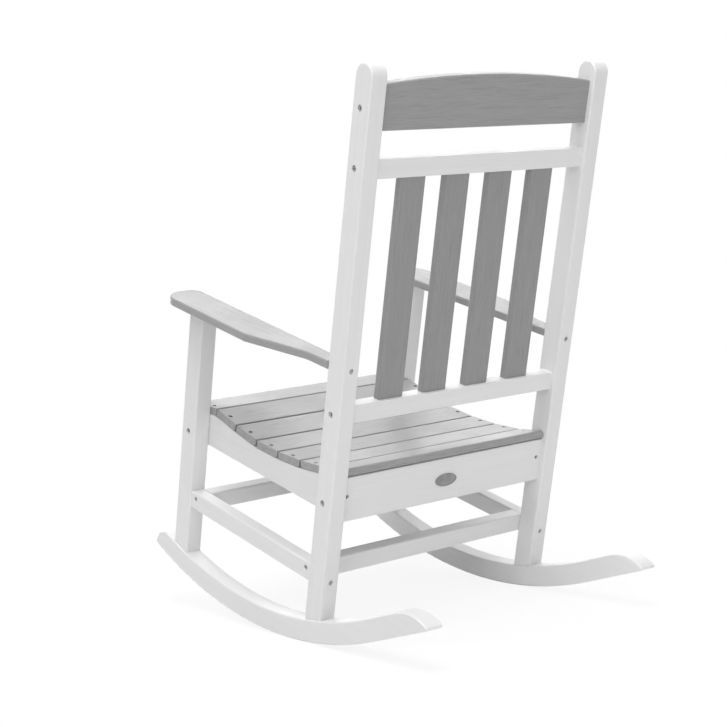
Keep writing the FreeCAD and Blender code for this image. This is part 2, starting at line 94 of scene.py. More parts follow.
@dataclass(frozen=True)
class Stance:
    """The chair rolled back on its rockers.

    Attributes:
        lean: Angle that it is rolled back by, in radians.
        arc_y: Place of the rocker arc's centre on the level chair.
        radius: Radius of the treads.
    """

    lean: float
    arc_y: float = -0.243
    radius: float = 0.865

    def matrix(self) -> Matrix:
        """Matrix from the level chair to the row frame."""
        lowered = Matrix.Translation((0.0, -self.arc_y, -self.radius))
        return Matrix.Translation((0.0, 0.0, self.radius)) @ Matrix.Rotation(-self.lean, 4, "X") @ lowered

    def place(self, point: Sequence[float]) -> Vector:
        """Row-frame place of a point on the level chair."""
        return self.matrix() @ Vector(point)

    def direction(self, vector: Sequence[float]) -> Vector:
        """Row-frame direction of a direction on the level chair."""
        return self.matrix().to_3x3() @ Vector(vector)


def measured_stance() -> Stance:
    """Reads the lean from the record's arm-top mount, which is square to the arm.

    Returns:
        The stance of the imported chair.
    """
    for mount in frame["record"]["mounts"]:
        if mount["name"] == "arm_top_left":
            return Stance(lean=math.atan2(mount["axis"][1], mount["axis"][2]))
    raise ValueError("the packed record has no arm_top_left mount")


# ---- node wiring ----
class Wiring:
    """Adds and joins nodes in one node tree."""

    def __init__(self, tree: Tree) -> None:
        """Keeps the tree and clears it."""
        self.tree = tree
        self.tree.nodes.clear()

    def feed(self, socket: Socket, value: object) -> None:
        """Links an input to the socket that feeds it, or sets its value.

        Args:
            socket: The input.
            value: Output socket or plain value.
        """
        if isinstance(value, Socket):
            self.tree.links.new(value, socket)
        else:
            socket.default_value = value

    def add(self, kind: str, inputs: dict | None = None, **settings: object) -> bpy.types.Node:
        """Adds a node.

        Args:
            kind: Type name of the node.
            inputs: Input name or index to a value, or to the output socket that feeds it.
            settings: Properties of the node.

        Returns:
            The new node.
        """
        node = self.tree.nodes.new(kind)
        for name, value in settings.items():
            setattr(node, name, value)
        for name, value in (inputs or {}).items():
            self.feed(node.inputs[name], value)
        return node

    def out(self, kind: str, inputs: dict | None = None, **settings: object) -> Socket:
        """First output of a new node."""
        return self.add(kind, inputs, **settings).outputs[0]

    def shape(self, kind: str, inputs: dict | None = None, **settings: object) -> Socket:
        """First output of a new node whose type name starts with GeometryNode."""
        return self.out("GeometryNode" + kind, inputs, **settings)

    def surface(self, shader: Socket) -> None:
        """Ends a material in a shader."""
        self.add("ShaderNodeOutputMaterial", {"Surface": shader})

    def group(self, tree: Tree, inputs: dict) -> Sockets:
        """Outputs of a shader node group with values or sockets on its inputs."""
        return self.add("ShaderNodeGroup", inputs, node_tree=tree).outputs

    def math(self, operation: str, first: object, second: object = 0.0) -> Socket:
        """Output of a Math node on two values."""
        return self.out("ShaderNodeMath", {0: first, 1: second}, operation=operation)

    def times(self, first: object, second: object) -> Socket:
        """Product of two values."""
        return self.math("MULTIPLY", first, second)

    def vector(self, operation: str, first: object, second: object) -> Socket:
        """Vector output of a Vector Math node on two vectors."""
        return self.out("ShaderNodeVectorMath", {0: first, 1: second}, operation=operation)

    def xyz(self, **axes: object) -> Socket:
        """Vector of what is given for X, Y and Z, and 0 for the others."""
        return self.out("ShaderNodeCombineXYZ", axes)

    def ramp(self, value: object, before: Sequence[float], after: Sequence[float] = WHOLE) -> Socket:
        """Output of a smooth Map Range node from one range to another."""
        spans = dict(zip(("From Min", "From Max", "To Min", "To Max"), (*before, *after)))
        return self.out("ShaderNodeMapRange", {"Value": value, **spans}, interpolation_type="SMOOTHSTEP")

    def noise(self, vector: object, scale: float, detail: float, distortion: float = 0.0) -> Socket:
        """Factor output of a Noise Texture node."""
        inputs = {"Vector": vector, "Scale": scale, "Detail": detail, "Distortion": distortion}
        return self.out("ShaderNodeTexNoise", inputs)

    def mixed(self, factor: object, first: object, second: object) -> Socket:
        """Colour between two colours, each given as a socket or as a colour.

        Args:
            factor: 0 for the first colour, 1 for the second.
            first: First colour.
            second: Second colour.

        Returns:
            The mixed colour.
        """
        node = self.add("ShaderNodeMix", {0: factor}, data_type="RGBA")
        for socket, colour in zip(node.inputs[6:8], (first, second)):
            self.feed(socket, colour if isinstance(colour, Socket) else (*colour, 1.0))
        return node.outputs[2]


def new_group(kind: str, name: str, inputs: Sequence[str], outputs: Sequence[str]) -> tuple[Wiring, Sockets]:
    """Makes a node group. Its sockets are floats, apart from those that KINDS names.

    Args:
        kind: Type name of the node tree.
        name: Name of the group.
        inputs: Names of its inputs.
        outputs: Names of its outputs.

    Returns:
        The group's wiring, and what comes in by its inputs.
    """
    tree = bpy.data.node_groups.new(name, kind)
    for in_out, labels in (("INPUT", inputs), ("OUTPUT", outputs)):
        for label in labels:
            socket_type = "NodeSocket" + KINDS.get(label, "Float")
            tree.interface.new_socket(label, in_out=in_out, socket_type=socket_type)
    wiring = Wiring(tree)
    return wiring, wiring.add("NodeGroupInput").outputs


# ---- shared effects ----
class Effects:
    """Shader node groups that more than one finish uses."""

    def __init__(self) -> None:
        """Builds the groups."""
        self.grain = self.build_grain()
        self.sawn = self.build_sawn()
        self.handling = self.build_handling()

    @staticmethod
    def build_grain() -> Tree:
        """Brushed and embossed grain that runs along X.

        Returns:
            A group that gives broad streaks, fine lines and open grooves, each from 0 to 1.
        """
        wiring, given = new_group("ShaderNodeTree", "board_grain", ("Vector", "Length", "Width", "Bow"),
                                  ("Streak", "Line", "Groove"))
        drift_scale, drift_stretch = 4.5, (1.0, 0.35, 0.35)
        drift = wiring.noise(wiring.vector("MULTIPLY", given["Vector"], drift_stretch), drift_scale, 1.0)
        bowed = wiring.times(wiring.math("SUBTRACT", drift, 0.5), given["Bow"])
        moved = wiring.vector("ADD", given["Vector"], wiring.xyz(Y=bowed, Z=bowed))
        size = wiring.xyz(X=given["Length"], Y=given["Width"], Z=given["Width"])
        along = wiring.vector("DIVIDE", moved, size)
        marks = {}
        for name, scale, detail, distortion, edges in (("Streak", 0.22, 3.0, 0.4, (0.3, 0.7)),
                                                       ("Line", 1.0, 4.0, 0.2, (0.32, 0.68)),
                                                       ("Groove", 0.55, 2.0, 0.6, (0.56, 0.66))):
            marks[name] = wiring.ramp(wiring.noise(along, scale, detail, distortion), edges)
        wiring.add("NodeGroupOutput", marks)
        return wiring.tree

    @staticmethod
    def build_sawn() -> Tree:
        """Sawn end of a board whose length runs along X.

        Returns:
            A group that gives a mask of the end and the marks of the saw, each from 0 to 1.
        """
        wiring, given = new_group("ShaderNodeTree", "sawn_end", ("Vector", "Facing", "Mark"),
                                  ("Mask", "Marks"))
        square_on, mark_edges, mark_stretch = (0.9, 0.97), (0.35, 0.65), 9.0
        mask = wiring.ramp(wiring.math("ABSOLUTE", given["Facing"]), square_on)
        long_mark = wiring.times(given["Mark"], mark_stretch)
        size = wiring.xyz(X=long_mark, Y=long_mark, Z=given["Mark"])
        scaled = wiring.vector("DIVIDE", given["Vector"], size)
        marks = wiring.ramp(wiring.noise(scaled, 1.0, 3.0), mark_edges)
        wiring.add("NodeGroupOutput", {"Mask": mask, "Marks": marks})
        return wiring.tree

    @staticmethod
    def build_handling() -> Tree:
        """Faint uneven gloss from handling.

        Returns:
            A group that gives broad soft patches and a fine stipple, each from 0 to 1.
        """
        wiring, given = new_group("ShaderNodeTree", "handling", ("Vector", "Size"), ("Patch", "Stipple"))
        patch_edges, stipple_scale = (0.35, 0.65), 90.0
        size = wiring.xyz(**{axis: given["Size"] for axis in "XYZ"})
        scaled = wiring.vector("DIVIDE", given["Vector"], size)
        wiring.add("NodeGroupOutput", {"Patch": wiring.ramp(wiring.noise(scaled, 1.0, 3.0), patch_edges),
                                       "Stipple": wiring.noise(scaled, stipple_scale, 2.0)})
        return wiring.tree


def new_material(name: str) -> tuple[bpy.types.Material, Wiring]:
    """Makes a material with an empty tree.

    Args:
        name: Its name.

    Returns:
        The material and its wiring.
    """
    material = bpy.data.materials.new(name)
    material.use_nodes = True
    return material, Wiring(material.node_tree)


@dataclass(frozen=True)
class LumberFinish:
    """Solid plastic lumber, brushed and embossed with a grain along each board.

    Attributes:
        name: Name of the finish.
        light: Colour between the grain lines.
        dark: Colour of the streaks.
        deep: Colour at the bottom of a groove.
        sawn: Lightest and darkest colour of a sawn end.
        roughness: Lowest and highest roughness.
        streak_length: Length scale of the grain, in metres.
        line_width: Width scale of the fine lines, in metres.
        bow: How far the grain wanders from straight, in metres.
        line_depth: Depth of the fine lines, in metres.
        groove_depth: Depth of the open grooves, in metres.
        sheen: Silky sheen that the brushing gives at a low angle.
        line_share: Share of the tone that the fine lines make alone, without the streaks.
        groove_share: Most that a groove takes of its own colour.
        groove_dull: Roughness that a groove adds.
        sawn_dull: Roughness that a sawn end adds.
        line_relief: Strength of the fine lines' relief.
        groove_relief: Strength of the grooves' relief.
        patch: Size of the patches from handling, in metres.
        saw_mark: Width of a saw mark, in metres.
    """

    name: str
    light: Colour
    dark: Colour
    deep: Colour
    sawn: tuple[Colour, Colour]
    roughness: tuple[float, float]
    streak_length: float
    line_width: float
    bow: float
    line_depth: float
    groove_depth: float
    sheen: float
    line_share: float = 0.4
    groove_share: float = 0.7
    groove_dull: float = 0.08
    sawn_dull: float = 0.15
    line_relief: float = 0.6
    groove_relief: float = 0.8
    patch: float = 0.11
    saw_mark: float = 0.0011

    def material(self, board: str, course: Course, stance: Stance, effects: Effects) -> bpy.types.Material:
        """Makes this finish for one board.

        Args:
            board: Name of the board, which also sets where in the pattern its grain lies.
            course: Way the board's length runs.
            stance: How the chair stands.
            effects: Shared node groups.

        Returns:
            The material.
        """
        material, wiring = new_material(f"{self.name}_{board}")
        number = sum((index + 1) * ord(letter) for index, letter in enumerate(board)) % SCATTER_STEPS
        own = wiring.add("ShaderNodeTexCoord").outputs["Object"]
        laid = wiring.out("ShaderNodeMapping", {
            "Vector": own, "Rotation": (stance.lean, *map(math.radians, course.value)),
            "Location": tuple(number * SCATTER_STEP * share for share in SCATTER)})
        stored = wiring.add("ShaderNodeAttribute", attribute_name=SHIFT).outputs["Vector"]
        along = wiring.vector("ADD", laid, stored)
        grain = wiring.group(effects.grain, {"Vector": along, "Length": self.streak_length,
                                             "Width": self.line_width, "Bow": self.bow})
        handling = wiring.group(effects.handling, {"Vector": along, "Size": self.patch})
        normal = wiring.add("ShaderNodeNewGeometry").outputs["Normal"]
        facing = wiring.add("ShaderNodeVectorMath", {0: normal, 1: stance.direction(course.along())},
                            operation="DOT_PRODUCT").outputs["Value"]
        sawn = wiring.group(effects.sawn, {"Vector": along, "Facing": facing, "Mark": self.saw_mark})

        streaks = wiring.times(wiring.times(grain["Streak"], grain["Line"]), 1.0 - self.line_share)
        tone = wiring.math("ADD", streaks, wiring.times(grain["Line"], self.line_share))
        colour = wiring.mixed(tone, self.dark, self.light)
        colour = wiring.mixed(wiring.times(grain["Groove"], self.groove_share), colour, self.deep)
        end_colour = wiring.mixed(sawn["Marks"], self.sawn[1], self.sawn[0])
        gloss = wiring.ramp(handling["Patch"], WHOLE, self.roughness)
        for mask, dull in ((grain["Groove"], self.groove_dull), (sawn["Mask"], self.sawn_dull)):
            gloss = wiring.math("ADD", gloss, wiring.times(mask, dull))
        lines = wiring.out("ShaderNodeBump", {"Strength": self.line_relief, "Distance": self.line_depth,
                                              "Height": grain["Line"]})
        grooves = wiring.out("ShaderNodeBump", {"Strength": self.groove_relief, "Distance": self.groove_depth,
                                                "Height": grain["Groove"], "Normal": lines}, invert=True)
        wiring.surface(wiring.out("ShaderNodeBsdfPrincipled", {
            "Base Color": wiring.mixed(sawn["Mask"], colour, end_colour), "Roughness": gloss,
            "Normal": grooves, "IOR": 1.5, "Sheen Weight": self.sheen, "Sheen Roughness": 0.35}))
        return material


@dataclass(frozen=True)
class SmoothFinish:
    """Metal or paint that handling has left a little uneven.

    Attributes:
        name: Name of the finish.
        light: Colour of the lighter patches.
        dark: Colour between them.
        roughness: Lowest and highest roughness.
        patch: Size of the patches, in metres.
        dulled_by: Handling effect that the roughness follows.
        dull_edges: Part of that effect over which the roughness grows.
        relief: Strength of the stipple's relief.
        depth: Depth of the stipple, in metres.
        metallic: 1 for bare metal.
        coat: Weight of the clear coat.
    """

    name: str
    light: Colour
    dark: Colour
    roughness: tuple[float, float]
    patch: float
    dulled_by: str
    dull_edges: tuple[float, float]
    relief: float
    depth: float
    metallic: float = 0.0
    coat: float = 0.0

    def material(self, effects: Effects) -> bpy.types.Material:
        """Makes this finish.

        Args:
            effects: Shared node groups.

        Returns:
            The material.
        """
        material, wiring = new_material(self.name)
        own = wiring.add("ShaderNodeTexCoord").outputs["Object"]
        handling = wiring.group(effects.handling, {"Vector": own, "Size": self.patch})
        bump = wiring.out("ShaderNodeBump", {"Strength": self.relief, "Distance": self.depth,
                                             "Height": handling["Stipple"]})
        wiring.surface(wiring.out("ShaderNodeBsdfPrincipled", {
            "Base Color": wiring.mixed(handling["Patch"], self.dark, self.light),
            "Roughness": wiring.ramp(handling[self.dulled_by], self.dull_edges, self.roughness),
            "Metallic": self.metallic, "Normal": bump, "Coat Weight": self.coat}))
        return material


WHITE_LUMBER = LumberFinish(
    name="white_lumber", light=(0.798, 0.798, 0.798), dark=(0.774, 0.774, 0.774),
    deep=(0.762, 0.762, 0.762), sawn=((0.82, 0.82, 0.82), (0.77, 0.77, 0.77)), roughness=(0.32, 0.4),
    streak_length=0.3, line_width=0.003, bow=0.004, line_depth=0.00005, groove_depth=0.00006, sheen=0.0)
GREY_LUMBER = LumberFinish(
    name="grey_lumber", light=(0.332, 0.332, 0.334), dark=(0.296, 0.296, 0.298),
    deep=(0.258, 0.258, 0.26), sawn=((0.4, 0.4, 0.402), (0.3, 0.3, 0.302)), roughness=(0.3, 0.4),
    streak_length=0.035, line_width=0.0012, bow=0.003, line_depth=0.00007, groove_depth=0.0001, sheen=0.24)
# Lighter copy of the grey lumber for the seat slats and arms: a painted highlight that stands in for the
# stronger light on their flat tops.
GREY_PAINTED_HIGHLIGHT = replace(
    GREY_LUMBER, name="grey_painted_highlight", light=(0.358, 0.358, 0.36), dark=(0.302, 0.302, 0.304),
    deep=(0.255, 0.255, 0.257), sheen=0.3)
# Darker copy of the grey lumber for the upright back slats: painted shade that stands in for the weaker light
# their faces catch.
GREY_PAINTED_SHADE = replace(
    GREY_LUMBER, name="grey_painted_shade", light=(0.3, 0.3, 0.302), dark=(0.266, 0.266, 0.268),
    deep=(0.228, 0.228, 0.23))
# The stainless is darker than bare steel: painted shade that stands in for the screw heads' sunk holes. Its
# light and dark patches are uneven handling.
STEEL = SmoothFinish(
    name="stainless", light=(0.5, 0.5, 0.5), dark=(0.28, 0.28, 0.285), roughness=(0.28, 0.46), patch=0.006,
    dulled_by="Stipple", dull_edges=(0.3, 0.7), relief=0.3, depth=0.00005, metallic=1.0)
PLATE = SmoothFinish(
    name="dark_satin", light=(0.3, 0.3, 0.305), dark=(0.235, 0.235, 0.24), roughness=(0.34, 0.5), patch=0.02,
    dulled_by="Patch", dull_edges=WHOLE, relief=0.4, depth=0.00006, coat=0.25)


@dataclass(frozen=True)
class Workshop:
    """What every sub-assembly needs: the stance, the shared effects and the plain finishes."""

    stance: Stance
    effects: Effects
    steel: bpy.types.Material
    plate: bpy.types.Material

    def lumber(self, finish: LumberFinish, board: str, course: Course) -> bpy.types.Material:
        """Lumber material for one board."""
        return finish.material(board, course, self.stance, self.effects)

    def dress(self, node: str, material: bpy.types.Material) -> None:
        """Gives a CAD node its material.

        Args:
            node: Name of the node.
            material: The material.
        """
        mesh = frame["nodes"][node].data
        mesh.materials.clear()
        mesh.materials.append(material)
        LOG.info("dressed %s with %s", node, material.name)

    def dress_boards(self, finish: LumberFinish, course: Course, *nodes: str) -> None:
        """Dresses lumber boards, each with its own grain."""
        for node in nodes:
            self.dress(node, self.lumber(finish, node, course))


def pair(name: str) -> tuple[str, ...]:
    """Names of the left and the right node of a pair."""
    return tuple(f"{name}_{side}" for side, _ in SIDES)


# ---- growing meshes with Geometry Nodes ----
def finish_tree(wiring: Wiring, geometry: Socket, material: Socket) -> None:
    """Ends a tree in Realize Instances and Set Material, smooth up to its creases.

    Args:
        wiring: Wiring of the tree.
        geometry: What the tree has made.
        material: Material for the whole of it.
    """
    real = wiring.shape("RealizeInstances", {"Geometry": geometry})
    faces = wiring.shape("SetShadeSmooth", {"Geometry": real, "Shade Smooth": True}, domain="FACE")
    angle = wiring.add("GeometryNodeInputMeshEdgeAngle").outputs["Unsigned Angle"]
    sharp = wiring.out("FunctionNodeCompare", {0: angle, 1: math.radians(CREASE_DEGREES)},
                       data_type="FLOAT", operation="GREATER_THAN")
    creased = wiring.shape("SetShadeSmooth", {"Geometry": faces, "Selection": sharp, "Shade Smooth": False},
                           domain="EDGE")
    dressed = wiring.shape("SetMaterial", {"Geometry": creased, "Material": material})
    wiring.add("NodeGroupOutput", {"Geometry": dressed})


def sizes_of(assembly: object) -> dict:
    """Sizes of a sub-assembly under the names of a tree's inputs, such as Edge Round."""
    return {size.name.replace("_", " ").title(): getattr(assembly, size.name) for size in fields(assembly)}


def grow(name: str, tree: Tree, sizes: dict, points: bpy.types.Mesh | None = None) -> bpy.types.Object:
    """Runs a Geometry Nodes tree and keeps its result as a plain mesh.

    Args:
        name: Name of the finished piece.
        tree: The tree.
        sizes: Input name to value.
        points: Mesh that the tree starts from.

    Returns:
        The piece, at the origin.
    """
    piece = bpy.data.objects.new(name, points or bpy.data.meshes.new(name + "_start"))
    bpy.context.scene.collection.objects.link(piece)
    modifier = piece.modifiers.new("grow", "NODES")
    modifier.node_group = tree
    for item in tree.interface.items_tree:
        if item.item_type == "SOCKET" and item.in_out == "INPUT" and item.name in sizes:
            modifier[item.identifier] = sizes[item.name]
    graph = bpy.context.evaluated_depsgraph_get()
    mesh = bpy.data.meshes.new_from_object(piece.evaluated_get(graph), preserve_all_data_layers=True,
                                           depsgraph=graph)
    piece.modifiers.remove(modifier)
    piece.data = mesh
    mesh.name = name
    LOG.info("grew %s with %d faces", name, len(mesh.polygons))
    return piece


def settle(piece: bpy.types.Object, nodes: Sequence[str]) -> None:
    """Puts a finished piece in the place of its CAD nodes.

    Args:
        piece: The piece.
        nodes: The nodes.
    """
    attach(piece, ROOT)
    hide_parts(*nodes)


# ---- sub-assemblies ----
@dataclass
class Rockers:
    """The pair of sawn rockers."""

    def dress(self, shop: Workshop) -> None:
        """Dresses both rockers; their grain runs from nose to tail."""
        shop.dress_boards(WHITE_LUMBER, Course.REARWARD, *pair("rocker"))


@dataclass
class Uprights:
    """Rear posts, front legs and the stretchers between them."""

    def dress(self, shop: Workshop) -> None:
        """Dresses the uprights and the stretchers.

        Args:
            shop: The workshop.
        """
        shop.dress_boards(WHITE_LUMBER, Course.UPRIGHT, *pair("rear_post"), *pair("front_leg"))
        shop.dress_boards(WHITE_LUMBER, Course.REARWARD, *pair("side_stretcher"))
        shop.dress_boards(WHITE_LUMBER, Course.ACROSS, "rear_stretcher", "front_stretcher")


@dataclass
class Back:
    """Crest board, rails and the row of upright slats.

    Attributes:
        count: Slats in the row.
        pitch: Middle to middle of neighbouring slats.
        width: Width of a slat.
        thickness: Thickness of a slat.
        bottom: Height of the slats' lower ends, inside the lower rail.
        top: Height of their upper ends, inside the upper rail.
        middle: Depth of the slats' middle plane.
        edge_round: Rounding of their long edges.
        round_steps: Steps in that rounding.
    """

    count: int = 4
    pitch: float = 0.1045
    width: float = 0.057
    thickness: float = 0.016
    bottom: float = 0.492
    top: float = 0.919
    middle: float = 0.02225
    edge_round: float = 0.003
    round_steps: int = 5

    def dress(self, shop: Workshop) -> None:
        """Dresses the crest board and the rails."""
        shop.dress_boards(GREY_LUMBER, Course.ACROSS, "crest_board")
        shop.dress_boards(WHITE_LUMBER, Course.ACROSS, "lower_back_rail", "upper_back_rail")

    def slat_tree(self) -> Tree:
        """Tree that draws one slat and repeats it in a row.

        Returns:
            The Geometry Nodes tree.
        """
        wiring, sizes = new_group("GeometryNodeTree", "back_slat_row",
                                  ("Geometry", "Count", "Pitch", "Width", "Thickness", "Length",
                                   "Edge Round", "Foot", "Lean", "Finish"), ("Geometry",))
        section = wiring.shape("CurvePrimitiveQuadrilateral",
                               {"Width": sizes["Width"], "Height": sizes["Thickness"]})
        rounded = wiring.shape("FilletCurve", {"Curve": section, "Radius": sizes["Edge Round"],
                                               "Count": self.round_steps}, mode="POLY")
        line = wiring.shape("CurvePrimitiveLine", {"End": wiring.xyz(Z=sizes["Length"])})
        solid = wiring.shape("CurveToMesh", {"Curve": line, "Profile Curve": rounded, "Fill Caps": True})
        spread = wiring.times(wiring.math("SUBTRACT", sizes["Count"], 1.0), sizes["Pitch"])
        first = wiring.xyz(X=wiring.times(spread, 0.5))
        step = wiring.xyz(X=wiring.times(sizes["Pitch"], -1.0))
        row = wiring.shape("MeshLine", {"Count": sizes["Count"], "Start Location": first, "Offset": step})
        slats = wiring.shape("InstanceOnPoints", {"Points": row, "Instance": solid})
        turn = wiring.xyz(X=wiring.times(sizes["Lean"], -1.0))
        leaned = wiring.shape("Transform", {"Geometry": own_grain(wiring, slats), "Rotation": turn,
                                            "Translation": sizes["Foot"]})
        finish_tree(wiring, leaned, sizes["Finish"])
        return wiring.tree

    def build_slats(self, shop: Workshop) -> None:
        """Makes the row of slats in the place of the CAD ones.

        Args:
            shop: The workshop.
        """
        # The slats take the darker grey copy, whose colour holds painted shade.
        sizes = {**sizes_of(self), "Length": self.top - self.bottom, "Lean": shop.stance.lean,
                 "Foot": shop.stance.place((0.0, self.middle, self.bottom)),
                 "Finish": shop.lumber(GREY_PAINTED_SHADE, "back_slats", Course.UPRIGHT)}
        piece = grow("back_slat_row", self.slat_tree(), sizes)
        settle(piece, [f"back_slat_{index + 1}" for index in range(self.count)])


def own_grain(wiring: Wiring, instances: Socket) -> Socket:
    """Stores a shift on each instance, so that each board has a grain of its own.

    Args:
        wiring: Wiring of the tree.
        instances: The boards.

    Returns:
        The boards with their shifts.
    """
    least = tuple(-value for value in GRAIN_REACH)
    spread = wiring.out("FunctionNodeRandomValue", {"Min": least, "Max": GRAIN_REACH, "Seed": GRAIN_SEED,
                                                    "ID": wiring.shape("InputIndex")},
                        data_type="FLOAT_VECTOR")
    return wiring.shape("StoreNamedAttribute", {"Geometry": instances, "Name": SHIFT, "Value": spread},
                        data_type="FLOAT_VECTOR", domain="INSTANCE")


@dataclass
class Seat:
    """Dished seat of cross slats on two side rails and two aprons.

    Attributes:
        tilts: Rise of each slat towards the rear, in degrees, from the front one.
        start: Front end of the slats' run, along the chair and up.
        pitch: Width of a slat and its gap.
        end_shift: Shift of the outer slats' screws towards the seat's middle.
    """

    tilts: tuple[float, ...] = (4.4, -9.2, -6.5, 0.7, 5.1, 9.7, 15.6)
    start: tuple[float, float] = (-0.4422, 0.3578)
    pitch: float = 0.069
    end_shift: float = 0.012

    def drives(self, across: float) -> list[tuple[Triple, Triple]]:
        """Screws down through the left ends of the slats.

        Args:
            across: Place of the screws across the chair.

        Returns:
            Point on each slat's top and the direction into it.
        """
        y, z = self.start
        found = []
        shifts = {0: self.end_shift, len(self.tilts) - 1: -self.end_shift}
        for index, tilt in enumerate(self.tilts):
            rise = math.radians(tilt)
            along = self.pitch / 2 + shifts.get(index, 0.0)
            point = (across, y + along * math.cos(rise), z + along * math.sin(rise))
            found.append((point, (0.0, math.sin(rise), -math.cos(rise))))
            y, z = y + self.pitch * math.cos(rise), z + self.pitch * math.sin(rise)
        return found

    def dress(self, shop: Workshop) -> None:
        """Dresses the slats, the rails and the aprons.

        Args:
            shop: The workshop.
        """
        slats = (f"seat_slat_{index + 1}" for index in range(len(self.tilts)))
        # The slats take the lighter grey copy, whose colour holds a painted highlight.
        shop.dress_boards(GREY_PAINTED_HIGHLIGHT, Course.ACROSS, *slats)
        shop.dress_boards(WHITE_LUMBER, Course.REARWARD, *pair("seat_rail"))
        shop.dress_boards(WHITE_LUMBER, Course.ACROSS, "front_apron", "rear_apron")


@dataclass
class Arms:
    """The pair of flat arms."""

    def dress(self, shop: Workshop) -> None:
        """Dresses both arms; their grain runs front to back."""
        # The arms take the lighter grey copy, whose colour holds a painted highlight.
        shop.dress_boards(GREY_PAINTED_HIGHLIGHT, Course.REARWARD, *pair("arm"))


# ---- hardware ----
@dataclass(frozen=True)
class ScrewSet:
    """Screws of one length, as on the left of the chair; the right has the same.

    Attributes:
        node: CAD node that they stand for.
        length: Length under and with the head.
        head: Diameter of the head.
        drives: Point on the board's face and direction inwards, for each screw on the left.
        sink: Depth of the head below the face.
    """

    node: str
    length: float
    head: float
    drives: tuple[tuple[Triple, Triple], ...]
    sink: float = 0.0024

    def points(self, stance: Stance) -> bpy.types.Mesh:
        """Points at the heads' tops, each with its direction inwards.

        Args:
            stance: How the chair stands.

        Returns:
            A mesh of loose points.
        """
        tops, inwards = [], []
        for _, sign in SIDES:
            for (x, y, z), (along_x, along_y, along_z) in self.drives:
                inward = Vector((sign * along_x, along_y, along_z)).normalized()
                tops.append(stance.place(Vector((sign * x, y, z)) + inward * self.sink))
                inwards.append(stance.direction(inward))
        mesh = bpy.data.meshes.new(self.node + "_places")
        mesh.from_pydata(tops, [], [])
        stored = mesh.attributes.new(INWARD, "FLOAT_VECTOR", "POINT")
        for item, inward in zip(stored.data, inwards):
            item.vector = inward
        return mesh


